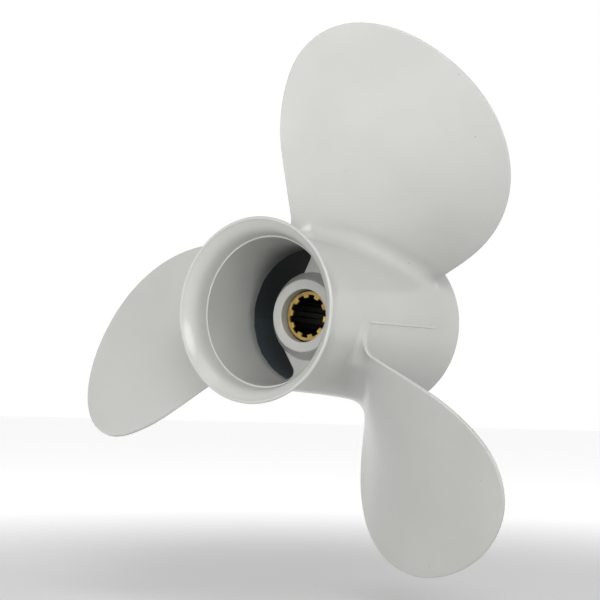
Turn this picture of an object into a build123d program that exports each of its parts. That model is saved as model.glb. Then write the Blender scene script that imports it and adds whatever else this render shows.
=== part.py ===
from build123d import *
import os
from math import cos, pi, radians, sin, tan

os.makedirs("parts", exist_ok=True)

# Boat propeller, through-hub exhaust type, in millimetres.
# The shaft runs along Y, forward is +Y, and up is +Z.
# The origin is on the shaft axis at the sleeve's front thrust face.
# "Station" is the distance forward from the hub's aft rim; radii are from the shaft axis.
# Clock angles are counter-clockwise from +X, seen from aft looking forward.

# Driving dimensions
thrust_station = 100.0
tip_radius = 125.4
pitch = 330.2
rake = 7.35
blade_count = 3
first_blade_clock = 69.8

# Barrel, outside
barrel_length = 106.3
rim_radius = 37.7
rim_round = 1.2
flare_waist = (34.6, 6.2)
neck_station = 15.0
neck_radius = 31.8
# Radius and station
barrel_outer = [(32.2, 30.0), (33.4, 60.0), (35.2, 85.0)]
front_radius = 37.6

# Barrel, inside
mouth_radius = 36.4
mouth_waist = (32.9, 3.6)
throat_station = 9.5
throat_radius = 30.3
throat_ledge = 0.7
web_station = 41.1
wall_radius_at_web = 28.8
front_face_station = 98.0
skirt_radius = 33.2
skirt_mouth_radius = 34.2
# How far a cut runs past the face it opens
past_end = 5.0

# Inner hub: the boss that carries the bush
boss_face_station = 36.2
boss_face_radius = 15.3
boss_root_radius = 18.6
lip_bore_radius = 11.2
seat_station = 40.9
seat_radius_aft = 15.5
seat_radius_front = 16.2

# Exhaust passages: two crescents, half a turn apart
passage_tip_round = 2.9
# Clock angles of the upper and lower ends, at the boss and at the wall
passage_upper = (101.0, 86.5)
passage_lower = (222.0, 261.0)
# Station, radius at the boss and radius at the wall
passage_stations = [(40.0, 18.8, 28.6), (99.0, 21.6, 32.7)]

# Blade: the helical mid-surface crosses the reference line at this station, at the base radius
blade_station = 53.5
rake_base_radius = 40.0
buried_radius = 24.0
sweep_lead = 34.0
sweep_turn = 82.0
# Radius, degrees to the trailing edge, degrees to the leading edge
blade_outline = [
    (34.0, 26.2, 40.2),
    (56.0, 24.8, 41.2),
    (80.0, 24.2, 38.3),
    (98.0, 21.9, 31.3),
    (110.0, 18.9, 23.4),
    (119.0, 14.5, 13.3),
]
tip_clock = 4.0
# Radius and blade thickness; the first two make the foot that blends into the barrel
blade_thickness = [(31.0, 17.5), (34.5, 11.5), (42.0, 7.8), (70.0, 6.0), (100.0, 4.4), (127.0, 2.8)]

# Straight line of the tapered bush seat, as (station, radius) at each end
seat_line = ((seat_station, seat_radius_aft), (front_face_station, seat_radius_front))

# Sleeve and bush
sleeve_aft_station = 39.9
sleeve_radius = 10.65
collar_radius = 13.0
collar_station = 88.0
collar_cone_length = 4.0
spline_teeth = 10
spline_major_radius = 9.05
spline_minor_radius = 7.7
spline_first_clock = 25.3
tooth_base_width = 3.1
tooth_tip_width = 2.45
tooth_round = 0.35
pilot_radius = 10.0
pilot_length = 9.0
sleeve_chamfer = 0.25
bush_aft_station = 41.3
bush_front_station = 97.0
bush_chamfer = 0.8
running_clearance = 0.03

# Local x is the radius and local y the station, for everything turned about the shaft
turning = Plane(origin=(0, -thrust_station, 0), x_dir=(1, 0, 0), z_dir=(0, 0, 1))
# Where the blade's helical sweep starts: local x is the radius and local y runs forward
sweep_start = blade_station - thrust_station - pitch * sweep_lead / 360
sweep_plane = Plane(origin=(0, sweep_start, 0), x_dir=(0, 0, 1), z_dir=(-1, 0, 0))


def section(station):
    """Plane across the shaft at a station, seen from aft: local x is +X and local y is +Z."""
    return Plane.XZ.offset(thrust_station - station)


def polar(radius, clock):
    """Point at a radius and a clock angle."""
    return (radius * cos(radians(clock)), radius * sin(radians(clock)))


def between(station, start, end):
    """Value at a station on the straight line from start (station, value) to end."""
    return start[1] + (end[1] - start[1]) * (station - start[0]) / (end[0] - start[0])


def axial(radius, thickness):
    """Length along the shaft of a thickness measured square to the helical surface."""
    lead = pitch / (2 * pi * radius)
    return thickness * (1 + lead**2) ** 0.5


# One blade, standing on its reference line at twelve o'clock: a helical slab with a flared
# foot, trimmed to the blade's outline as seen along the shaft
with BuildPart() as blade:
    with BuildLine() as screw_line:
        Helix(pitch, pitch * sweep_turn / 360, tip_radius / 2, (0, sweep_start, 0), (0, 1, 0))
    with BuildSketch(sweep_plane) as thickness_profile:
        fore, aft = [], []
        for radius, thickness in blade_thickness:
            middle = -tan(radians(rake)) * (radius - rake_base_radius)
            fore.append((radius, middle + axial(radius, thickness) / 2))
            aft.append((radius, middle - axial(radius, thickness) / 2))
        with BuildLine():
            Polyline((buried_radius, aft[0][1]), (buried_radius, fore[0][1]), fore[0])
            Spline(*fore)
            Line(fore[-1], aft[-1])
            Spline(*aft)
            Line(aft[0], (buried_radius, aft[0][1]))
        make_face()
    sweep(path=screw_line.line, is_frenet=True)

with BuildPart() as trimmed_blade:
    add(blade.part, rotation=(0, -sweep_lead, 0))
    with BuildSketch(Plane.XZ) as outline:
        trailing = [polar(radius, 90 + back) for radius, back, ahead in blade_outline]
        leading = [polar(radius, 90 - ahead) for radius, back, ahead in blade_outline]
        tip = polar(tip_radius, 90 + tip_clock)
        buried_trailing = polar(buried_radius / 2, 90 + blade_outline[0][1])
        buried_leading = polar(buried_radius / 2, 90 - blade_outline[0][2])
        with BuildLine():
            Spline(*trailing, tip, *reversed(leading))
            Polyline(leading[0], buried_leading, buried_trailing, trailing[0])
        make_face()
    extrude(amount=2 * barrel_length, both=True, mode=Mode.INTERSECT)

# The casting: barrel with its flared rim, blades, two ribs, and the inner hub
with BuildPart() as propeller_casting:
    with BuildSketch(turning) as barrel_profile:
        neck = (neck_radius, neck_station)
        front = (front_radius, barrel_length)
        with BuildLine():
            Line((0, 0), (rim_radius - rim_round, 0))
            RadiusArc((rim_radius - rim_round, 0), (rim_radius, rim_round), -rim_round)
            ThreePointArc((rim_radius, rim_round), flare_waist, neck)
            Spline(neck, *barrel_outer, front)
            Polyline(front, (0, barrel_length), (0, 0))
        make_face()
    revolve(axis=Axis.Y)
    for number in range(blade_count):
        clock = first_blade_clock + number * 360 / blade_count
        add(trimmed_blade.part, rotation=(0, 90 - clock, 0))

    with BuildSketch(turning) as cavity_profile:
        with BuildLine():
            Polyline((0, -past_end), (mouth_radius, -past_end), (mouth_radius, 0))
            ThreePointArc(
                (mouth_radius, 0),
                mouth_waist,
                (throat_radius + throat_ledge, throat_station),
            )
            Polyline(
                (throat_radius + throat_ledge, throat_station),
                (throat_radius, throat_station),
                (wall_radius_at_web, web_station),
                (boss_root_radius, web_station),
                (boss_face_radius, boss_face_station),
                (lip_bore_radius, boss_face_station),
                (lip_bore_radius, seat_station),
                (seat_radius_aft, seat_station),
                (seat_radius_front, front_face_station),
                (skirt_radius, front_face_station),
                (skirt_mouth_radius, barrel_length),
                (skirt_mouth_radius, barrel_length + past_end),
                (0, barrel_length + past_end),
                (0, -past_end),
            )
        make_face()
    revolve(axis=Axis.Y, mode=Mode.SUBTRACT)

    # The two exhaust passages leave the two ribs between them
    for half_turn in (0, 180):
        boss_start, wall_start = (clock + half_turn for clock in passage_upper)
        boss_end, wall_end = (clock + half_turn for clock in passage_lower)
        passage_ends = []
        for station, inner_radius, outer_radius in passage_stations:
            with BuildSketch(section(station)) as passage:
                with BuildLine():
                    Line(polar(inner_radius, boss_start), polar(outer_radius, wall_start))
                    CenterArc((0, 0), outer_radius, wall_start, wall_end - wall_start)
                    Line(polar(outer_radius, wall_end), polar(inner_radius, boss_end))
                    CenterArc((0, 0), inner_radius, boss_end, boss_start - boss_end)
                make_face()
                fillet(passage.vertices().sort_by_distance((0, 0, 0))[-2:], passage_tip_round)
            passage_ends.append(passage.sketch)
        loft(sections=passage_ends, mode=Mode.SUBTRACT)
propeller_casting.part.label = "propeller_casting"
export_step(propeller_casting.part, "parts/propeller_casting.step")

# The rubber bush that drives the casting and lets it slip when a blade strikes
with BuildPart() as rubber_damper_bush:
    with BuildSketch(turning):
        aft_seat = between(bush_aft_station, seat_line[0], seat_line[1]) - running_clearance
        front_seat = between(bush_front_station, seat_line[0], seat_line[1]) - running_clearance
        with BuildLine():
            Polyline(
                (sleeve_radius, bush_aft_station),
                (aft_seat, bush_aft_station),
                (front_seat, bush_front_station),
                (collar_radius, bush_front_station),
                (collar_radius, collar_station),
                (sleeve_radius, collar_station - collar_cone_length),
                close=True,
            )
        make_face()
    revolve(axis=Axis.Y)
    rims = rubber_damper_bush.edges().filter_by(GeomType.CIRCLE).sort_by(SortBy.RADIUS)
    chamfer(rims[-2:], bush_chamfer)
rubber_damper_bush.part.label = "rubber_damper_bush"
export_step(rubber_damper_bush.part, "parts/rubber_damper_bush.step")

# The brass sleeve: ten-tooth spline, and a plain pilot counterbore at the thrust end
with BuildPart() as brass_spline_sleeve:
    with BuildSketch(turning):
        with BuildLine():
            Polyline(
                (0, sleeve_aft_station),
                (sleeve_radius, sleeve_aft_station),
                (sleeve_radius, collar_station - collar_cone_length),
                (collar_radius, collar_station),
                (collar_radius, thrust_station),
                (0, thrust_station),
                close=True,
            )
        make_face()
    revolve(axis=Axis.Y)
    rims = brass_spline_sleeve.edges().filter_by(GeomType.CIRCLE).sort_by(Axis.Y)
    chamfer([rims[0], rims[-1]], sleeve_chamfer)
    with BuildSketch(section(sleeve_aft_station)) as splined_bore:
        Circle(spline_major_radius)
        with PolarLocations(0, spline_teeth, spline_first_clock):
            Polygon(
                (sleeve_radius, tooth_base_width / 2),
                (spline_minor_radius, tooth_tip_width / 2),
                (spline_minor_radius, -tooth_tip_width / 2),
                (sleeve_radius, -tooth_base_width / 2),
                align=None,
                mode=Mode.SUBTRACT,
            )
        fillet(splined_bore.vertices(), tooth_round)
    extrude(amount=-(thrust_station - sleeve_aft_station), mode=Mode.SUBTRACT)
    with BuildSketch(section(thrust_station)):
        Circle(pilot_radius)
    extrude(amount=pilot_length, mode=Mode.SUBTRACT)
brass_spline_sleeve.part.label = "brass_spline_sleeve"
export_step(brass_spline_sleeve.part, "parts/brass_spline_sleeve.step")
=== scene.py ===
from math import cos, pi, radians, sin, tan

import bmesh
import bpy
import numpy as np
from mathutils import Matrix, Vector
from mathutils.geometry import tessellate_polygon


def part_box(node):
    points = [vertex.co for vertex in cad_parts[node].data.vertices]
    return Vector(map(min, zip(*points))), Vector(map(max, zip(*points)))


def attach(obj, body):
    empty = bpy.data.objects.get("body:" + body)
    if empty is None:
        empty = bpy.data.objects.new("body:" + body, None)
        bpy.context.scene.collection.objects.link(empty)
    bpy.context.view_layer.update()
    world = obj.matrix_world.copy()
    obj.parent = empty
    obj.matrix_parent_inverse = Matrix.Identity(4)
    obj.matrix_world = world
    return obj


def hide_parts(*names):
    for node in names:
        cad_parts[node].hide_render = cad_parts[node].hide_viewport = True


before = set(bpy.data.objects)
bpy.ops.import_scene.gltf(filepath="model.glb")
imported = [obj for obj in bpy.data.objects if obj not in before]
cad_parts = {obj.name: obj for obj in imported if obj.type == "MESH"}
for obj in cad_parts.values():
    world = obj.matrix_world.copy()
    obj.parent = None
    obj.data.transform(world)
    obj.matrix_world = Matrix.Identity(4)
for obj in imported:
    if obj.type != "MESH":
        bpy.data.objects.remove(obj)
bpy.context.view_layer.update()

# Lengths are in millimetres until place() turns them into the frame's metres. A "station" is
# the distance forward of the hub's aft rim, a "clock" is degrees counter-clockwise from +X as
# seen from aft, and radii are from the shaft axis.
MM = 0.001
casting_low, casting_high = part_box("propeller_casting")
sleeve_low, sleeve_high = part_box("brass_spline_sleeve")
bush_low, bush_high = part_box("rubber_damper_bush")
rim_y = casting_low.y
barrel_length = (casting_high.y - rim_y) / MM
sleeve_aft = (sleeve_low.y - rim_y) / MM
sleeve_front = (sleeve_high.y - rim_y) / MM
bush_aft = (bush_low.y - rim_y) / MM
bush_front = (bush_high.y - rim_y) / MM

# Barrel, outside
neck_radius = 31.6
neck_station = 15.0
barrel_spread = (2.5, 3.5)
flare_station = 17.0
flare_power = 1.8
flare_lean = 35.0
rim_radius = 37.7
rim_lip = 0.75
front_lip = 0.8

# Barrel, inside
throat = (30.3, 9.7)
throat_ledge = 0.6
funnel_middle = (32.9, 3.7)
web_station = 41.1
wall_radius = 28.8
front_face = 98.0
skirt_radius = 33.2

# Boss
boss_face = 36.2
boss_radius = 15.3
boss_root = 18.8
lip_bore = 11.2
seat = (15.5, 40.9)
seat_front_radius = 16.2

# Exhaust passages: clocks of the upper and lower ends, at the boss and at the wall
passage_upper = (101.0, 86.5)
passage_lower = (222.0, 261.0)
passage_front = (21.6, 32.7)
tip_round = 2.9
root_round = 1.0
edge_round = 0.9

# Blades
blade_count = 3
first_clock = 69.8
lead = 330.2 / 360
blade_station = 53.5
rake_slope = tan(radians(7.35))
rake_base = 40.0
tip = (125.4, 4.0)
# Radius, degrees to the trailing edge, degrees to the leading edge
blade_outline = [
    (33.0, 24.6, 40.0),
    (48.0, 24.7, 41.2),
    (64.0, 24.7, 41.0),
    (80.0, 24.2, 38.3),
    (95.0, 22.4, 33.0),
    (107.0, 19.9, 25.9),
    (116.0, 16.4, 17.5),
    (122.0, 12.1, 8.3),
]
# Half thickness at the root and at the tip
half_middle = (5.2, 1.3)
half_trailing = (0.6, 0.75)
half_leading = (1.1, 0.75)
cup_depth = 1.6
cup_start = (11.0, 24.5)
# The foot: share of the way from the trailing to the leading edge, and fillet radius there
foot_height = 10.0
pressure_foot = [(0.0, 4.0), (0.15, 6.0), (0.45, 7.5), (0.88, 7.5), (1.0, 3.5)]
suction_foot = [(0.0, 2.0), (0.12, 2.5), (0.3, 4.0), (0.6, 5.5), (0.9, 5.0), (1.0, 3.5)]
# Gusset that runs round the barrel from the trailing edge to the parting line: for shares of
# the chord, its edge on the barrel as degrees from the blade's reference line and station
pressure_gusset = [
    (0.0, 43.1, 31.9),
    (0.02, 38.0, 30.6),
    (0.04, 31.7, 30.0),
    (0.06, 24.0, 30.4),
    (0.08, 16.5, 31.0),
    (0.1, 8.9, 31.6),
    (0.14, 1.0, 35.0),
    (0.18, -4.0, 38.0),
]
suction_gusset = [
    (0.0, 44.2, 38.5),
    (0.04, 36.0, 38.2),
    (0.08, 29.5, 39.3),
    (0.12, 24.9, 41.0),
    (0.18, 21.0, 45.0),
]
gusset_shares = (0.08, 0.18)

# Parting ridge: stations and clocks from the blade's own at its ends, and its profile in
# millimetres round the barrel and above it
ridge_stations = (37.5, 89.5)
ridge_clocks = (44.3, 45.7)
ridge_profile = [(-0.55, -0.2), (-0.42, 0.25), (-0.2, 0.38), (0.15, 0.33), (0.85, -0.2), (0.1, -0.5)]

# Mesh density; the counts tie the blade's foot to the barrel's grid
circle_steps = 180
sector_steps = circle_steps // blade_count
side_steps = 36
edge_steps = 8
chord_steps = sector_steps + side_steps - edge_steps
span_steps = 50
aft_clock = first_clock + (blade_station - flare_station) / lead

# Sleeve and bush
sleeve_radius = 10.65
collar_radius = (sleeve_high.x - sleeve_low.x) / MM / 2
collar_station = 88.0
collar_cone = 4.0
spline_teeth = 10
spline_radii = (7.7, 9.05)
spline_clock = 25.3
tooth_widths = (2.45, 2.75)
pilot = (10.0, 9.0)
sleeve_chamfer = 0.25
bush_clearance = 0.03

# Finishes, as linear colours
paint_light = (0.485, 0.489, 0.467)
paint_shade = (0.450, 0.454, 0.432)
brass_bright = (0.50, 0.35, 0.11)
brass_dull = (0.33, 0.22, 0.07)

# Studio
floor_size = 14.0
floor_gap = 0.001
floor_glow = (0.55, 130.0, 700.0)
sky_levels = [(0.0, 1.0), (0.50, 1.0), (0.72, 0.05)]
aim = Vector((0, -0.05, 0))
lamp_distance = 1.2
lamps = [
    ("key_light", 34, 25, 0.6, 4.6),
    ("aft_light", -8, -6, 0.5, 2.8),
    ("overhead_light", 34, 65, 0.8, 3.0),
    ("side_light", 95, 15, 0.6, 1.1),
    ("far_light", -50, 60, 0.8, 0.9),
]
camera_place = (0.33679, -0.56425, -0.03957)
camera_azimuth = 34.07
camera_elevation = -4.37
camera_tilt = 1.12
camera_lens = 86.14


def place(radius, clock, station):
    """Row-frame points in metres, as an array whose last axis is X, Y, Z."""
    turn = np.radians(clock)
    parts = (radius * np.cos(turn) * MM, station * MM + rim_y, radius * np.sin(turn) * MM)
    return np.stack(np.broadcast_arrays(*parts), axis=-1)


def unit(vectors):
    return vectors / np.linalg.norm(vectors, axis=-1, keepdims=True)


class Shell:
    """Collects grids and flat faces into one closed mesh; coincident points are merged."""

    def __init__(self):
        self.points = []
        self.faces = []
        self.count = 0

    def add(self, points):
        points = np.asarray(points, float).reshape(-1, 3)
        first = self.count
        self.points.append(points)
        self.count += len(points)
        return first

    def grid(self, points, closed=False):
        """Quads over rows and columns of points; closed joins the last column to the first."""
        rows, columns = points.shape[:2]
        index = self.add(points) + np.arange(rows * columns).reshape(rows, columns)
        if closed:
            index = np.concatenate([index, index[:, :1]], axis=1)
        quads = np.stack([index[:-1, :-1], index[:-1, 1:], index[1:, 1:], index[1:, :-1]], axis=-1)
        self.faces.extend(quads.reshape(-1, 4).tolist())

    def fill(self, *outlines):
        """A flat face: the first outline is its outside, any others are holes."""
        first = self.add(np.concatenate(outlines))
        triangles = tessellate_polygon([[Vector(p) for p in outline] for outline in outlines])
        self.faces.extend([[first + i for i in triangle] for triangle in triangles])

    def build(self, name, crease=38):
        mesh = bpy.data.meshes.new(name)
        mesh.from_pydata(np.concatenate(self.points).tolist(), [], self.faces)
        work = bmesh.new()
        work.from_mesh(mesh)
        bmesh.ops.remove_doubles(work, verts=work.verts, dist=1e-6)
        bmesh.ops.recalc_face_normals(work, faces=work.faces)
        for face in work.faces:
            face.smooth = True
        for edge in work.edges:
            edge.smooth = len(edge.link_faces) == 2 and edge.calc_face_angle() < radians(crease)
        work.to_mesh(mesh)
        work.free()
        piece = bpy.data.objects.new(name, mesh)
        bpy.context.scene.collection.objects.link(piece)
        weighted = piece.modifiers.new("weighted_normal", "WEIGHTED_NORMAL")
        weighted.keep_sharp = True
        return piece


def rounded(corners, step=4.0):
    """Points along (x, y, round) corners, with an arc at each round one."""
    spots = np.array([c[:2] for c in corners], float)
    path = [spots[0]]
    for i in range(1, len(corners)):
        arc = [spots[i]]
        if i < len(corners) - 1 and corners[i][2] > 0:
            size = corners[i][2]
            back, ahead = unit(spots[i - 1] - spots[i]), unit(spots[i + 1] - spots[i])
            half = np.arccos(np.clip(back @ ahead, -1, 1)) / 2
            start, end = (spots[i] + way * size / tan(half) for way in (back, ahead))
            middle = spots[i] + unit(back + ahead) * size / sin(half)
            steps = max(2, round((pi - 2 * half) / radians(18)))
            arc = []
            for k in range(steps + 1):
                share = np.tan((2 * k / steps - 1) * (pi / 2 - half)) / tan(pi / 2 - half)
                spot = (start + end) / 2 + (end - start) / 2 * share
                arc.append(middle + unit(spot - middle) * size)
        run = arc[0] - path[-1]
        pieces = max(1, int(np.ceil(np.linalg.norm(run) / step)))
        start = path[-1]
        path += [start + run * k / pieces for k in range(1, pieces)]
        path += arc
    return np.array(path)


def spline(points, count):
    """Natural cubic spline through the points, at evenly spaced distances along their chords."""
    points = np.asarray(points, float)
    knots = np.concatenate([[0], np.cumsum(np.linalg.norm(np.diff(points, axis=0), axis=1))])
    gaps = np.diff(knots)
    matrix = np.eye(len(points))
    right = np.zeros_like(points)
    for i in range(1, len(points) - 1):
        matrix[i, i - 1 : i + 2] = gaps[i - 1], 2 * (gaps[i - 1] + gaps[i]), gaps[i]
        slopes = (points[i + 1] - points[i]) / gaps[i] - (points[i] - points[i - 1]) / gaps[i - 1]
        right[i] = 6 * slopes
    bend = np.linalg.solve(matrix, right)
    where = np.linspace(0, knots[-1], count)
    left = np.clip(np.searchsorted(knots, where) - 1, 0, len(gaps) - 1)
    gap = gaps[left][:, None]
    near = (where - knots[left])[:, None]
    far = gap - near
    line = (points[left] * far + points[left + 1] * near) / gap
    sag = bend[left] * (far**3 / gap - far * gap) + bend[left + 1] * (near**3 / gap - near * gap)
    return line + sag / 6


def evenly(points, count):
    """The same line with count points spaced evenly along it."""
    lengths = np.concatenate([[0], np.cumsum(np.linalg.norm(np.diff(points, axis=0), axis=1))])
    where = np.linspace(0, lengths[-1], count)
    return np.stack([np.interp(where, lengths, points[:, i]) for i in range(points.shape[1])], axis=-1)


def barrel_radius(station):
    """Outside radius of the barrel: it widens forward and flares at its aft end."""
    share = (station - neck_station) / (barrel_length - neck_station)
    body = neck_radius + barrel_spread[0] * share + barrel_spread[1] * share**3
    flare_end = rim_lip * (1 + sin(radians(flare_lean)))
    edge_share = (flare_end - neck_station) / (barrel_length - neck_station)
    edge = neck_radius + barrel_spread[0] * edge_share + barrel_spread[1] * edge_share**3
    reach = rim_radius - rim_lip * (1 - cos(radians(flare_lean))) - edge
    aft = np.clip((flare_station - station) / (flare_station - flare_end), 0, None)
    return body + reach * aft**flare_power


def share_to_tip(radius):
    return np.clip((tip[0] - radius) / (tip[0] - 34.0), 0, 1.1)


def half_at(radius, ends, power):
    """Half thickness at a radius, from its values at the root and the tip."""
    return ends[1] + (ends[0] - ends[1]) * share_to_tip(radius) ** power


def cup(angle, radius):
    """How far the trailing edge is bent aft of the helix."""
    near = np.clip((angle - cup_start[0]) / (cup_start[1] - cup_start[0]), 0, 1.5)
    return cup_depth * near**2 * np.clip((radius - 42) / 30, 0, 1)


def blade_middle(angle, radius):
    """Points of the helical mid-surface of a blade whose reference line is at clock 0."""
    turn = np.radians(angle)
    station = blade_station - lead * angle - rake_slope * (radius - rake_base) - cup(angle, radius)
    return np.stack([radius * np.cos(turn), station, radius * np.sin(turn)], axis=-1)


def blade_normal(angle, radius):
    """Unit normals of the mid-surface on its forward, suction side."""
    step = 0.05
    outward = blade_middle(angle, radius + step) - blade_middle(angle, radius - step)
    around = blade_middle(angle + step, radius) - blade_middle(angle - step, radius)
    normal = unit(np.cross(outward, around))
    return normal * np.sign(normal[..., 1:2])


def polar(flat):
    """Angle in degrees and radius of (x, z) points."""
    return np.degrees(np.arctan2(flat[..., 1], flat[..., 0])), np.hypot(flat[..., 0], flat[..., 1])


def flat_point(radius, angle):
    return np.stack([radius * np.cos(np.radians(angle)), radius * np.sin(np.radians(angle))], axis=-1)


def inset_edge():
    """The blade's edge drawn in by its own half thickness, from the trailing to the leading
    root, as (x, z) points along the shaft: this is where the rounded rim starts."""
    table = np.array(blade_outline)
    trailing = flat_point(table[:, 0], table[:, 1])
    leading = flat_point(table[::-1, 0], -table[::-1, 2])
    edge = spline(np.concatenate([trailing, [flat_point(*map(np.asarray, tip))], leading]), 2000)
    angle, radius = polar(edge)
    aft = np.clip((angle + 4) / 8, 0, 1)
    half = aft * half_at(radius, half_trailing, 3) + (1 - aft) * half_at(radius, half_leading, 2)
    solid = blade_middle(angle, radius)
    inward = np.cross(unit(np.gradient(solid, axis=0)), blade_normal(angle, radius))
    inward *= -np.sign(np.sum(inward[:, [0, 2]] * (edge - (78, -8)), axis=-1, keepdims=True))
    return (solid + inward * half[:, None])[:, [0, 2]]


def above_barrel(flat):
    """Height of mid-surface points above the barrel, from their (x, z)."""
    angle, radius = polar(flat)
    return radius - barrel_radius(blade_middle(angle, radius)[..., 1])


def blade_patch():
    """(x, z) of the blade's grid: rows from the foot to the tip, columns from the trailing to
    the leading edge."""
    edge = inset_edge()
    clear = np.nonzero(above_barrel(edge) > foot_height)[0]
    edge = edge[clear[0] : clear[-1] + 1]
    angle, radius = polar(edge)
    corners = [np.nonzero(radius > 108)[0][0], np.nonzero(radius > 106)[0][-1]]
    trailing = evenly(edge[: corners[0] + 1], span_steps + 1)
    top = evenly(edge[corners[0] : corners[1] + 1], chord_steps + 1)
    leading = evenly(edge[corners[1] :][::-1], span_steps + 1)
    sweep = np.linspace(angle[0], angle[-1], chord_steps + 1)
    root_radius = np.full_like(sweep, 42.0)
    for _ in range(20):
        root_radius = barrel_radius(blade_middle(sweep, root_radius)[:, 1]) + foot_height
    bottom = flat_point(root_radius, sweep)
    bottom[0], bottom[-1] = trailing[0], leading[0]
    bottom = evenly(bottom, chord_steps + 1)
    u = np.linspace(0, 1, chord_steps + 1)[None, :, None]
    v = np.linspace(0, 1, span_steps + 1)[:, None, None]
    sides = (1 - u) * trailing[:, None] + u * leading[:, None]
    ends = (1 - v) * bottom[None] + v * top[None]
    low = (1 - u) * bottom[0] + u * bottom[-1]
    high = (1 - u) * top[0] + u * top[-1]
    return sides + ends - (1 - v) * low - v * high


def blade_faces():
    """Pressure and suction side points of one blade, and the rounded rim that joins them."""
    flat = blade_patch()
    angle, radius = polar(flat)
    u = np.linspace(-1, 1, chord_steps + 1)[None, :]
    v = np.linspace(0, 1, span_steps + 1)[:, None]
    aft = np.clip(0.5 - u * 3, 0, 1)
    edge = aft * half_at(radius, half_trailing, 3) + (1 - aft) * half_at(radius, half_leading, 2)
    fullness = (1 - u**2) * (1 - v**6)
    half = edge + (half_at(radius, half_middle, 1.6) - edge) * fullness
    middle = blade_middle(angle, radius)
    normal = blade_normal(angle, radius)
    pressure = middle - normal * half[..., None]
    suction = middle + normal * half[..., None]
    ring = [(i, 0) for i in range(span_steps)]
    ring += [(span_steps, j) for j in range(chord_steps)]
    ring += [(i, chord_steps) for i in range(span_steps, -1, -1)]
    rows, columns = np.array(ring).T
    spot, up, size = middle[rows, columns], normal[rows, columns], half[rows, columns]
    along = unit(np.gradient(spot, axis=0))
    outward = unit(np.cross(along, up))
    outward *= np.sign(np.sum(outward[:, [0, 2]] * (spot[:, [0, 2]] - (78, -8)), axis=-1))[:, None]
    squareness = np.interp(np.arange(len(ring)) / len(ring), (0.0, 0.3, 0.5), (3.5, 4.0, 2.3))
    rim = []
    for k in range(edge_steps + 1):
        turn = -pi / 2 + pi * k / edge_steps
        out = np.abs(cos(turn)) ** (2 / squareness) * (0 < k < edge_steps)
        rise = np.sign(sin(turn)) * np.abs(sin(turn)) ** (2 / squareness)
        rim.append(spot + (outward * out[:, None] + up * rise[:, None]) * size[:, None])
    return pressure, suction, np.array(rim)


def foot_loop(pressure, suction, rim):
    """The blade's lowest loop of points: pressure side from the trailing to the leading edge,
    round the leading rim, back along the suction side and round the trailing rim."""
    leading = rim[1:-1, -1]
    trailing = rim[-2:0:-1, 0]
    return np.concatenate([pressure[0], leading, suction[0, ::-1], trailing])


def eased(table, share):
    """A smooth curve through (share, value) pairs, level at each of them."""
    places, values = np.array(table).T
    left = np.clip(np.searchsorted(places, share, side="right") - 1, 0, len(places) - 2)
    t = (share - places[left]) / (places[left + 1] - places[left])
    return values[left] + (values[left + 1] - values[left]) * t * t * (3 - 2 * t)


def round_the_foot(pressure, suction):
    """Values at each point of the foot loop, from a table for each side of the blade."""
    share = np.linspace(0, 1, chord_steps + 1)
    ends = np.ones(edge_steps - 1)
    near = eased(pressure, share)
    far = eased(suction, share)
    return np.concatenate([near, ends * near[-1], far[::-1], ends * far[0]])


def sheared(angle, station):
    """Angle from the blade's own helix at a station."""
    return angle - (blade_station - station) / lead


def gusset_edge():
    """The gusset's edge on the barrel for each point of the foot loop, and how far it holds."""
    share = np.linspace(0, 1, chord_steps + 1)
    sides = []
    for table in (pressure_gusset, suction_gusset):
        places, angles, stations = np.array(table).T
        sides.append(np.stack([np.interp(share, places, v) for v in (angles, stations)], axis=-1))
    pressure, suction = sides
    mix = np.arange(1, edge_steps)[:, None] / edge_steps
    end = suction[0] + (pressure[0] - suction[0]) * mix
    lead_end = np.repeat(pressure[-1:], edge_steps - 1, axis=0)
    hold = [(0.0, 1.0), (gusset_shares[0], 1.0), (gusset_shares[1], 0.0), (1.0, 0.0)]
    edge = np.concatenate([pressure, lead_end, suction[::-1], end])
    return edge, round_the_foot(hold, hold)


def blade_foot(loop):
    """Rows of (radius, angle, station) from the foot loop down its fillet onto the barrel."""
    angle, radius = polar(loop[:, [0, 2]])
    station = loop[:, 1]
    height = radius - barrel_radius(station)
    spread = np.stack([np.radians(angle) * radius, station], axis=-1)
    along = unit(np.roll(spread, -1, axis=0) - np.roll(spread, 1, axis=0))
    outward = np.stack([along[:, 1], -along[:, 0]], axis=-1)
    if np.mean(np.sum(outward * (spread - spread.mean(axis=0)), axis=-1)) < 0:
        outward = -outward
    size = round_the_foot(pressure_foot, suction_foot)
    edge, hold = gusset_edge()
    base = station + rake_slope * height
    rows = []
    for drop in np.linspace(0, 1, 18) ** 0.75:
        level = height * (1 - drop)
        grow = size * (1 - np.sqrt(1 - np.clip(1 - level / size, 0, 1) ** 2)) * (1 - hold)
        flare = hold * (1 - np.sqrt(1 - drop**2))
        s = station + rake_slope * height * drop + outward[:, 1] * grow
        s += flare * (edge[:, 1] - base)
        barrel = barrel_radius(s) + level
        turn = np.degrees(outward[:, 0] * grow / barrel) + flare * (edge[:, 0] - angle)
        rows.append(np.stack([barrel, angle + turn, s], axis=-1))
    return np.array(rows)


def sector_edge():
    """The sector's border in (angle from the helix, station), in the order of the foot loop."""
    step = 360 / circle_steps
    start = -(edge_steps // 2) * step
    half = sector_steps * step / 2
    low, high = flare_station, barrel_length - front_lip
    rise = np.linspace(low, high, side_steps + 1)
    border = [(a, low) for a in np.arange(start, -half, -step)]
    border += [(-half, s) for s in rise[:-1]]
    border += [(a, high) for a in np.arange(-half, half, step)]
    border += [(half, s) for s in rise[:0:-1]]
    border += [(a, low) for a in np.arange(half, start, -step)]
    return np.array(border)


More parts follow.
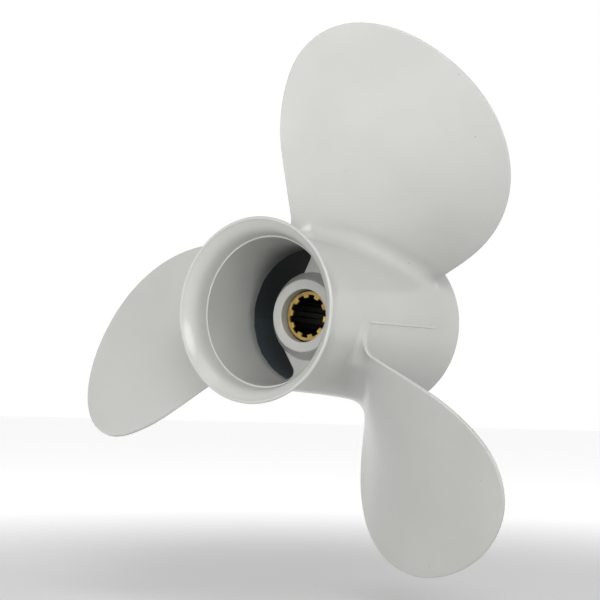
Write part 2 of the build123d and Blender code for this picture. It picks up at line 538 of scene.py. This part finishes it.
def sector_rows(foot, rings=14):
    """Rows from the fillet's foot on the barrel out to the sector's border."""
    inner = np.stack([sheared(foot[:, 1], foot[:, 2]), foot[:, 2]], axis=-1)
    outer = sector_edge()
    rows = []
    for share in np.linspace(0, 1, rings + 1):
        mix = inner + (outer - inner) * share**1.15
        angle = mix[:, 0] + (blade_station - mix[:, 1]) / lead
        rows.append(np.stack([barrel_radius(mix[:, 1]), angle, mix[:, 1]], axis=-1))
    return np.array(rows)


def add_blade(shell, clock):
    """One blade with its fillet, and the third of the barrel that it stands on."""
    pressure, suction, rim = blade_faces()
    foot = blade_foot(foot_loop(pressure, suction, rim))

    def turned(points):
        angle, radius = polar(points[..., [0, 2]])
        return place(radius, angle + clock, points[..., 1])

    shell.grid(turned(pressure))
    shell.grid(turned(suction))
    shell.grid(turned(rim))
    for rows in (foot, sector_rows(foot[-1])):
        shell.grid(place(rows[..., 0], rows[..., 1] + clock, rows[..., 2]), closed=True)


def add_ridge(shell, clock):
    """The fine raised line that the die's parting leaves along the barrel, ahead of a gusset."""
    rows = []
    for share in np.linspace(0, 1, 40):
        station = ridge_stations[0] + share * (ridge_stations[1] - ridge_stations[0])
        middle = clock + ridge_clocks[0] + share * (ridge_clocks[1] - ridge_clocks[0])
        size = min(1.0, 12 * (1 - share) + 0.1)
        row = []
        for across, rise in ridge_profile:
            radius = barrel_radius(station) + rise * size
            turn = np.degrees(across / radius)
            row.append(place(np.float64(radius), middle + turn, np.float64(station)))
        rows.append(row)
    rows = np.array(rows)
    shell.grid(rows, closed=True)
    shell.fill(rows[0])
    shell.fill(rows[-1])


def turned_about(shell, path, start_clock, steps=circle_steps):
    """Turns a path of (radius, station) points about the shaft axis."""
    clocks = start_clock + np.arange(steps) * 360 / steps
    shell.grid(place(path[:, :1], clocks[None], path[:, 1:]), closed=True)


def circle(radius, station, start_clock):
    clocks = start_clock + np.arange(circle_steps) * 360 / circle_steps
    return place(radius, clocks, station)


def aft_path():
    """Profile from the outside of the flare, round the aft rim and down to the web."""
    lean = radians(flare_lean)
    start_station = rim_lip * (1 + sin(lean))
    outside = [(barrel_radius(s), s) for s in np.linspace(flare_station, start_station, 14)]
    turn = np.linspace(lean, -pi * 0.93, 9)[1:]
    lip_middle = rim_radius - rim_lip
    lip = [(lip_middle + rim_lip * cos(t), rim_lip + rim_lip * sin(t)) for t in turn]
    ledge = (throat[0] + throat_ledge, throat[1])
    knee = spline([lip[-1], funnel_middle, ledge], 12)[1:]
    inner = rounded([ledge, (throat[0], throat[1], 0.3), (wall_radius, web_station, 0)], 3.2)
    return np.array(outside + lip + knee.tolist() + inner[1:].tolist())


def boss_path():
    """Profile of the inner hub, from the web over its face and through the bush's seat."""
    corners = [
        (boss_root, web_station, 0),
        (boss_radius, boss_face, 0.8),
        (lip_bore, boss_face, 0.5),
        (lip_bore, seat[1], 0),
        (*seat, 0),
        (seat_front_radius, front_face, 0),
    ]
    return rounded(corners)


def front_path():
    """Profile from the barrel's front edge over its lip and down the skirt to the front face."""
    outer = (barrel_radius(barrel_length - front_lip), barrel_length - front_lip)
    corners = [
        (*outer, 0),
        (outer[0] - 0.6, barrel_length, 0.5),
        (skirt_radius + 1.0, barrel_length, 0.5),
        (skirt_radius, front_face, 0),
    ]
    return rounded(corners)


def flank_arc(boss_clock, wall_clock, inward, size, at_wall):
    """Centre, tangent point on the flank and clock of the tangent point on the circle, for the
    arc that rounds a flank into the wall or into the boss. inward is +1 where the passage lies
    counter-clockwise of the flank."""
    start = flat_point(np.float64(boss_root), np.float64(boss_clock))
    end = flat_point(np.float64(wall_radius), np.float64(wall_clock))
    way = unit(end - start)
    side = inward * np.array([-way[1], way[0]])
    reach = wall_radius - size if at_wall else boss_root + size
    base = start + side * size
    along = base @ way
    root = np.sqrt(along**2 - base @ base + reach**2)
    middle = base + way * (-along + root)
    return middle, middle - side * size, polar(middle)[0]


def snapped(clock):
    """The nearest clock at which the barrel's inside wall has a row of points."""
    step = 360 / circle_steps
    return aft_clock + round((clock - aft_clock) / step) * step


def flank(clocks, inward):
    """Points of one flank from the wall to the boss, ends included, with how much of the edge's
    rounding each takes."""
    wall_middle, wall_foot, wall_end = flank_arc(*clocks, inward, tip_round, True)
    boss_middle, boss_foot, boss_end = flank_arc(*clocks, inward, root_round, False)
    wall_end, boss_end = snapped(wall_end % 360), snapped(boss_end % 360)
    first = flat_point(np.float64(wall_radius), np.float64(wall_end))
    last = flat_point(np.float64(boss_root), np.float64(boss_end))
    points, weights = [first], [0.0]
    for middle, start, end, steps in (
        (wall_middle, first, wall_foot, 8),
        (boss_middle, boss_foot, last, 4),
    ):
        if steps == 4:
            run = start - points[-1]
            points += [points[-1] + run * k / 5 for k in range(1, 5)]
            weights += [1.0] * 4
            points.append(start)
            weights.append(1.0)
        a, b = start - middle, end - middle
        turn = (np.arctan2(b[1], b[0]) - np.arctan2(a[1], a[0]) + pi) % (2 * pi) - pi
        for k in range(1, steps + 1):
            t = turn * k / steps
            spin = np.array([[cos(t), -sin(t)], [sin(t), cos(t)]])
            grow = (np.linalg.norm(b) / np.linalg.norm(a)) ** (k / steps)
            points.append(middle + spin @ a * grow)
            weights.append(k / steps if steps == 8 else 1 - k / steps)
    return np.array(points), np.array(weights), wall_end, boss_end


def arc_points(radius, start, end):
    """Points of the wall's or the boss's own circle strictly between two clocks."""
    step = 360 / circle_steps
    count = round(abs(end - start) / step)
    clocks = start + (end - start) * np.arange(1, count) / count
    return flat_point(np.float64(radius), clocks)


def passage():
    """One passage at the web: its loop of points, the loop with the edge's rounding cut back,
    and the pieces that the ribs' faces share with it."""
    upper, upper_weight, wall_start, boss_start = flank(passage_upper, 1)
    lower, lower_weight, wall_end, boss_end = flank(passage_lower, -1)
    wall = arc_points(wall_radius, wall_start, wall_end)
    boss = arc_points(boss_root, boss_end, boss_start)
    loop = np.concatenate([upper[::-1], wall, lower, boss])
    weight = np.concatenate(
        [upper_weight[::-1], np.zeros(len(wall)), lower_weight, np.zeros(len(boss))]
    )
    along = unit(np.roll(loop, -1, axis=0) - np.roll(loop, 1, axis=0))
    outward = np.stack([along[:, 1], -along[:, 0]], axis=-1)
    clocks = (wall_start, wall_end, boss_start, boss_end)
    return loop, outward * (weight * edge_round)[:, None], len(upper), len(wall), clocks


def at_station(flat, station):
    """A web-plane outline carried along the passage, which widens towards the front."""
    share = np.clip((station - web_station) / (front_face - web_station), 0, 1)
    angle, radius = polar(flat)
    low = boss_root + (passage_front[0] - boss_root) * share
    high = wall_radius + (passage_front[1] - wall_radius) * share
    across = (radius - boss_root) / (wall_radius - boss_root)
    return place(low + across * (high - low), angle, np.float64(station))


def rotated(flat, degrees):
    angle, radius = polar(flat)
    return flat_point(radius, angle + degrees)


def add_passages(shell):
    """The two exhaust passages, the faces of the two ribs between them, and the front face."""
    loop, cut, flank_count, wall_count, clocks = passage()
    wall_start, wall_end, boss_start, boss_end = clocks
    edge = loop + cut
    upper = edge[:flank_count][::-1]
    lower = edge[flank_count + wall_count : 2 * flank_count + wall_count]
    fronts = []
    for half_turn in (0, 180):
        rows = []
        for turn in np.linspace(0, pi / 2, 5):
            station = web_station + edge_round * (1 - cos(turn))
            rows.append(at_station(rotated(loop + cut * (1 - sin(turn)), half_turn), station))
        for station in np.linspace(web_station + edge_round, front_face, 15)[1:]:
            rows.append(at_station(rotated(loop, half_turn), station))
        shell.grid(np.array(rows), closed=True)
        fronts.append(rows[-1])
        next_wall = wall_start + 180
        next_boss = boss_start + 180
        rib = np.concatenate(
            [
                lower[::-1],
                arc_points(wall_radius, wall_end, next_wall),
                rotated(upper, 180),
                arc_points(boss_root, next_boss, boss_end),
            ]
        )
        shell.fill(at_station(rotated(rib, half_turn), web_station))
    front_clock = first_clock + (blade_station - barrel_length + front_lip) / lead
    outside = circle(np.float64(skirt_radius), np.float64(front_face), front_clock)
    inside = circle(np.float64(seat_front_radius), np.float64(front_face), aft_clock)
    shell.fill(outside, *fronts, inside)
    turned_about(shell, front_path(), front_clock)


def casting():
    """The casting as one closed mesh: barrel, blades, ribs and inner hub."""
    shell = Shell()
    for number in range(blade_count):
        clock = first_clock + number * 360 / blade_count
        add_blade(shell, clock)
        add_ridge(shell, clock)
    turned_about(shell, aft_path(), aft_clock)
    turned_about(shell, boss_path(), aft_clock)
    add_passages(shell)
    piece = shell.build("painted_casting")
    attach(piece, "propeller")
    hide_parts("propeller_casting")
    return piece


def spline_bore(grow):
    """Outline of the splined bore, seen from aft, with its teeth cut back by grow."""
    tip_radius, base_radius = spline_radii[0] + grow, spline_radii[1] + grow
    half_tip, half_base = (w / 2 - 0.6 * grow for w in tooth_widths)
    pitch_angle = pi / spline_teeth
    reach = base_radius * cos(pitch_angle * 0.4)
    corners = [
        (base_radius * cos(pitch_angle), -base_radius * sin(pitch_angle), 0),
        (reach, -half_base, 0.4),
        (tip_radius, -half_tip, 0.35),
        (tip_radius, half_tip, 0.35),
        (reach, half_base, 0.4),
        (base_radius * cos(pitch_angle), base_radius * sin(pitch_angle), 0),
    ]
    tooth = rounded(corners)[:-1]
    angle, radius = polar(tooth)
    groove = np.abs(tooth[:, 1]) > half_base
    radius = np.where(groove, np.maximum(radius, base_radius * 0.995), radius)
    turns = spline_clock + np.arange(spline_teeth) * 360 / spline_teeth
    return np.concatenate([flat_point(radius, angle + turn) for turn in turns])


def flat_place(flat, station):
    angle, radius = polar(flat)
    return place(radius, angle, np.float64(station))


def sleeve():
    """The brass sleeve: splined bore, collar, and pilot counterbore at its thrust end."""
    shell = Shell()
    floor = sleeve_front - pilot[1]
    outer = [
        (sleeve_radius - sleeve_chamfer, sleeve_aft, 0),
        (sleeve_radius, sleeve_aft + sleeve_chamfer, 0.2),
        (sleeve_radius, collar_station - collar_cone, 1.0),
        (collar_radius, collar_station, 1.0),
        (collar_radius, sleeve_front, 0.45),
        (pilot[0], sleeve_front, 0.3),
        (pilot[0], floor, 0),
    ]
    turned_about(shell, rounded(outer, 3.0), spline_clock, 120)
    stations = np.linspace(sleeve_aft + sleeve_chamfer, floor, 14)
    mouth = flat_place(spline_bore(sleeve_chamfer * 0.7), sleeve_aft)
    rows = [mouth] + [flat_place(spline_bore(0.0), s) for s in stations]
    shell.grid(np.array(rows), closed=True)
    clocks = spline_clock + np.arange(120) * 3
    rim = place(np.float64(sleeve_radius - sleeve_chamfer), clocks, np.float64(sleeve_aft))
    shell.fill(rim, mouth)
    shell.fill(place(np.float64(pilot[0]), clocks, np.float64(floor)), rows[-1])
    piece = shell.build("brass_sleeve")
    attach(piece, "drive_bush")
    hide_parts("brass_spline_sleeve")
    return piece


def bush():
    """The rubber bush round the sleeve, tapered to its seat."""
    shell = Shell()
    widen = (seat_front_radius - seat[0]) / (front_face - seat[1])
    radii = [seat[0] + widen * (s - seat[1]) - bush_clearance for s in (bush_aft, bush_front)]
    corners = [
        (sleeve_radius, bush_aft, 0),
        (radii[0], bush_aft, 0.8),
        (radii[1], bush_front, 0.8),
        (collar_radius, bush_front, 0),
        (collar_radius, collar_station, 0),
        (sleeve_radius, collar_station - collar_cone, 0),
        (sleeve_radius, bush_aft, 0),
    ]
    turned_about(shell, rounded(corners), 0.0, 96)
    piece = shell.build("rubber_bush")
    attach(piece, "drive_bush")
    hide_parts("rubber_damper_bush")
    return piece


class Finish:
    """A procedural material under construction: nodes are added by kind and wired by value."""

    def __init__(self, name):
        self.material = bpy.data.materials.new(name)
        self.material.use_nodes = True
        self.tree = self.material.node_tree
        self.shader = self.tree.nodes["Principled BSDF"]
        self.where = self.add("ShaderNodeTexCoord").outputs["Object"]
        split = self.add("ShaderNodeSeparateXYZ", {0: self.where})
        across, station, up = split.outputs
        self.station = self.math("ADD", self.math("DIVIDE", station, MM), -rim_y / MM)
        squares = [self.math("MULTIPLY", side, side) for side in (across, up)]
        self.radius = self.math("DIVIDE", self.math("SQRT", self.math("ADD", *squares)), MM)
        self.clock = self.math("MULTIPLY", self.math("ARCTAN2", up, across), 180 / pi)

    def add(self, kind, inputs=None, **settings):
        node = self.tree.nodes.new(kind)
        for key, value in settings.items():
            setattr(node, key, value)
        for key, value in (inputs or {}).items():
            self.wire(node.inputs[key], value)
        return node

    def wire(self, socket, value):
        if isinstance(value, bpy.types.NodeSocket):
            self.tree.links.new(value, socket)
        else:
            socket.default_value = value

    def math(self, operation, *values):
        return self.add("ShaderNodeMath", dict(enumerate(values)), operation=operation).outputs[0]

    def noise(self, size, detail=3.0, roughness=0.5, stretch=None):
        """Noise with features of about this many millimetres."""
        where = self.where
        if stretch:
            where = self.add("ShaderNodeMapping", {0: where, 3: stretch}).outputs[0]
        inputs = {"Vector": where, "Scale": 0.5 / (size * MM), "Detail": detail, "Roughness": roughness}
        return self.add("ShaderNodeTexNoise", inputs).outputs[0]

    def step(self, value, start, end, low=0.0, high=1.0):
        """A smooth step from low to high as value goes from start to end."""
        inputs = {"Value": value, "From Min": start, "From Max": end, "To Min": low, "To Max": high}
        node = self.add("ShaderNodeMapRange", inputs, interpolation_type="SMOOTHSTEP")
        return node.outputs[0]

    def mix(self, share, first, second):
        """Colour mix; colours are given as three linear values."""
        node = self.add("ShaderNodeMix", {0: share}, data_type="RGBA")
        for socket, value in ((node.inputs[6], first), (node.inputs[7], second)):
            self.wire(socket, (*value, 1.0) if isinstance(value, tuple) else value)
        return node.outputs[2]

    def bump(self, height, depth, over=None):
        """Bump of this many millimetres, on top of an earlier one."""
        inputs = {"Height": height, "Distance": depth * MM}
        if over:
            inputs["Normal"] = over
        return self.add("ShaderNodeBump", inputs).outputs[0]

    def set(self, **values):
        for key, value in values.items():
            self.wire(self.shader.inputs[key.replace("_", " ")], value)


def marine_paint():
    """Glossy off-white paint; a dark undercoat shows inside the exhaust passages, with painted shade
    that blackens it towards the top of the passages and spreads its overspray wider and darker over the
    top of the wall.
    """
    paint = Finish("marine_paint")
    clouds = paint.noise(26.0, 3.0)
    mottle = paint.noise(2.2, 4.0, 0.65)
    colour = paint.mix(paint.step(clouds, 0.3, 0.7), paint_light, paint_shade)
    colour = paint.mix(paint.step(mottle, 0.62, 0.8, 0.0, 0.10), colour, (0.40, 0.40, 0.37))
    specks = paint.add("ShaderNodeTexVoronoi", {"Vector": paint.where, "Scale": 1 / (5.5 * MM)})
    rare = paint.step(paint.noise(9.0), 0.56, 0.62)
    speck = paint.math("MULTIPLY", paint.step(specks.outputs[0], 0.075, 0.045), rare)
    colour = paint.mix(paint.math("MULTIPLY", speck, 0.55), colour, (0.16, 0.15, 0.13))
    ragged = paint.math("MULTIPLY", paint.math("SUBTRACT", paint.noise(3.5, 4.0), 0.5), 4.0)
    depth = paint.math("ADD", paint.station, ragged)
    on_wall = paint.step(paint.radius, wall_radius - 0.9, wall_radius - 0.3)
    # Dark primer overspray on the wall beside the passages; its wider reach and greater strength over
    # the top of the wall are painted shade
    from_top = paint.math("ABSOLUTE", paint.math("SUBTRACT", paint.clock, 95.0))
    reach = paint.step(from_top, 70.0, 10.0, 5.0, 22.0)
    share = paint.math("DIVIDE", paint.math("SUBTRACT", web_station - 0.5, depth), reach)
    strength = paint.step(from_top, 70.0, 10.0, 0.45, 0.8)
    overspray_and_painted_shade = paint.math("MULTIPLY", paint.step(share, 1.0, 0.0), strength)
    fine = paint.math("MULTIPLY", paint.math("SUBTRACT", paint.noise(1.2, 4.0), 0.5), 1.6)
    edge = paint.math("ADD", paint.station, fine)
    bare = paint.step(edge, web_station - 0.8, web_station + 0.3)
    fade_wall = paint.math("MAXIMUM", overspray_and_painted_shade, bare)
    fade_flank = paint.step(paint.station, web_station + 0.2, web_station + 1.0)
    fade = paint.math("MULTIPLY", fade_wall, on_wall)
    fade = paint.math("MAXIMUM", fade, fade_flank)
    limit = paint.step(paint.station, web_station, front_face, 31.0, 34.0)
    inside = paint.math("LESS_THAN", paint.radius, limit)
    # Mask of the dark primer, which also carries the painted shade of the widened overspray
    primer_and_painted_shade = paint.math("MULTIPLY", fade, inside)
    dust = paint.noise(1.4, 5.0, 0.7)
    # Painted shade: the primer is near black towards the top of the passages and slate further round
    painted_shade_black = paint.mix(dust, (0.002, 0.003, 0.004), (0.007, 0.009, 0.011))
    slate = paint.mix(dust, (0.018, 0.030, 0.035), (0.055, 0.078, 0.086))
    dark = paint.mix(paint.step(from_top, 10.0, 130.0), painted_shade_black, slate)
    colour = paint.mix(primer_and_painted_shade, colour, dark)
    gloss = paint.step(clouds, 0.2, 0.8, 0.29, 0.36)
    rough = paint.math("ADD", gloss, paint.math("MULTIPLY", primer_and_painted_shade, 0.35))
    peel = paint.bump(paint.noise(2.6, 2.0), 0.012)
    peel = paint.bump(paint.noise(0.5, 2.0), 0.003, peel)
    grain = paint.bump(paint.math("MULTIPLY", dust, primer_and_painted_shade), 0.12, peel)
    paint.set(Base_Color=colour, Roughness=rough, Normal=grain)
    coat = paint.math("MULTIPLY", paint.math("SUBTRACT", 1.0, primer_and_painted_shade), 0.35)
    paint.set(Coat_Weight=coat, Coat_Roughness=0.07, IOR=1.5)
    return paint.material


def bush_rubber():
    """Matt black moulded rubber."""
    rubber = Finish("bush_rubber")
    bloom = rubber.noise(3.0, 5.0, 0.6)
    colour = rubber.mix(rubber.step(bloom, 0.35, 0.75), (0.010, 0.010, 0.011), (0.030, 0.029, 0.028))
    grain = rubber.bump(rubber.noise(0.35, 3.0), 0.03)
    rough = rubber.step(bloom, 0.3, 0.7, 0.55, 0.75)
    rubber.set(Base_Color=colour, Roughness=rough, Normal=grain)
    return rubber.material


def sleeve_brass():
    """Machined brass, tarnished in patches, with painted shade that blackens the splined bore from just
    inside its mouth.
    """
    brass = Finish("sleeve_brass")
    patches = brass.noise(3.0, 4.0, 0.6)
    colour = brass.mix(brass.step(patches, 0.35, 0.7), brass_bright, brass_dull)
    rings = brass.math("SINE", brass.math("MULTIPLY", brass.radius, 26.0))
    # Painted shade: the splined bore turns near black from just inside its mouth
    depth = brass.step(brass.station, sleeve_aft + 0.35, sleeve_aft + 1.4)
    in_bore = brass.math("LESS_THAN", brass.radius, spline_radii[1] + 0.15)
    bore_painted_shade = brass.math("MULTIPLY", depth, brass.step(brass.noise(4.0), 0.0, 0.6, 0.97, 1.0))
    bore_painted_shade = brass.math("MULTIPLY", bore_painted_shade, in_bore)
    colour = brass.mix(bore_painted_shade, colour, (0.0015, 0.0012, 0.001))
    turned = brass.bump(rings, 0.006)
    turned = brass.bump(brass.noise(0.6, 3.0), 0.010, turned)
    rough = brass.step(patches, 0.3, 0.7, 0.36, 0.48)
    brass.set(Base_Color=colour, Roughness=rough, Normal=turned, Metallic=1.0)
    return brass.material


def paint_piece(piece, material):
    piece.data.materials.append(material)


def floor_finish():
    """Matt pale floor, very slightly mottled."""
    floor = Finish("studio_floor")
    cloud = floor.noise(220.0, 3.0)
    floor.set(Base_Color=floor.mix(cloud, (0.84, 0.84, 0.84), (0.90, 0.90, 0.90)))
    floor.set(Roughness=floor.step(cloud, 0.3, 0.7, 0.75, 0.9))
    level, near, far = floor_glow
    reach = floor.add("ShaderNodeVectorMath", {0: floor.where}, operation="LENGTH").outputs[1]
    glow = floor.step(floor.math("DIVIDE", reach, MM), near, far, 0.0, level)
    floor.set(Emission_Color=(1.0, 1.0, 1.0, 1.0), Emission_Strength=glow)
    return floor.material


def studio_floor():
    """A wide floor just under the circle that the blade tips sweep as the hub slips."""
    mesh = bpy.data.meshes.new("studio_floor")
    half = floor_size / 2
    corners = [(-half, -half, 0), (half, -half, 0), (half, half, 0), (-half, half, 0)]
    mesh.from_pydata(corners, [], [(0, 1, 2, 3)])
    floor = bpy.data.objects.new("studio_floor", mesh)
    floor.location = (0, 0, -tip[0] * MM - floor_gap)
    mesh.materials.append(floor_finish())
    bpy.context.scene.collection.objects.link(floor)


def studio_sky():
    """White all round at the horizon and softer overhead."""
    world = bpy.data.worlds.new("studio_sky")
    world.use_nodes = True
    tree = world.node_tree
    where = tree.nodes.new("ShaderNodeTexCoord")
    split = tree.nodes.new("ShaderNodeSeparateXYZ")
    ramp = tree.nodes.new("ShaderNodeValToRGB")
    tree.links.new(where.outputs["Generated"], split.inputs[0])
    tree.links.new(split.outputs[2], ramp.inputs[0])
    tree.links.new(ramp.outputs[0], tree.nodes["Background"].inputs[0])
    ramp.color_ramp.elements.remove(ramp.color_ramp.elements[1])
    for number, (height, level) in enumerate(sky_levels):
        steps = ramp.color_ramp.elements
        step = steps[0] if number == 0 else steps.new(height)
        step.position = height
        step.color = (level, level, level, 1)
    bpy.context.scene.world = world


def lamp(name, azimuth, elevation, size, power):
    """A round soft light, aimed at the hub. Azimuth 0 is aft of it, and 90 on its +X side."""
    light = bpy.data.lights.new(name, "AREA")
    light.shape = "DISK"
    light.size = size
    light.energy = power
    shown = bpy.data.objects.new(name, light)
    towards = direction(azimuth, elevation)
    shown.location = aim + towards * lamp_distance
    shown.rotation_euler = towards.to_track_quat("Z", "Y").to_euler()
    bpy.context.scene.collection.objects.link(shown)


def direction(azimuth, elevation):
    a, e = radians(azimuth), radians(elevation)
    return Vector((sin(a) * cos(e), -cos(a) * cos(e), sin(e)))


def photo_camera():
    """The camera at the photo's own viewing angle, distance and slight tilt."""
    view = bpy.data.cameras.new("camera")
    view.lens = camera_lens
    camera = bpy.data.objects.new("camera", view)
    back = direction(camera_azimuth, camera_elevation)
    across = (-back).cross(Vector((0, 0, 1))).normalized()
    upward = across.cross(-back)
    tilt = radians(camera_tilt)
    axes = (across * cos(tilt) + upward * sin(tilt), upward * cos(tilt) - across * sin(tilt), back)
    camera.matrix_world = Matrix.Translation(camera_place) @ Matrix(axes).transposed().to_4x4()
    bpy.context.scene.collection.objects.link(camera)
    bpy.context.scene.camera = camera


def clear_start_up_scene():
    for name in ("Cube", "Light", "Camera"):
        if name in bpy.data.objects:
            bpy.data.objects.remove(bpy.data.objects[name])


clear_start_up_scene()
paint_piece(casting(), marine_paint())
paint_piece(bush(), bush_rubber())
paint_piece(sleeve(), sleeve_brass())
studio_floor()
studio_sky()
for settings in lamps:
    lamp(*settings)
photo_camera()
bpy.context.scene.view_settings.view_transform = "Standard"
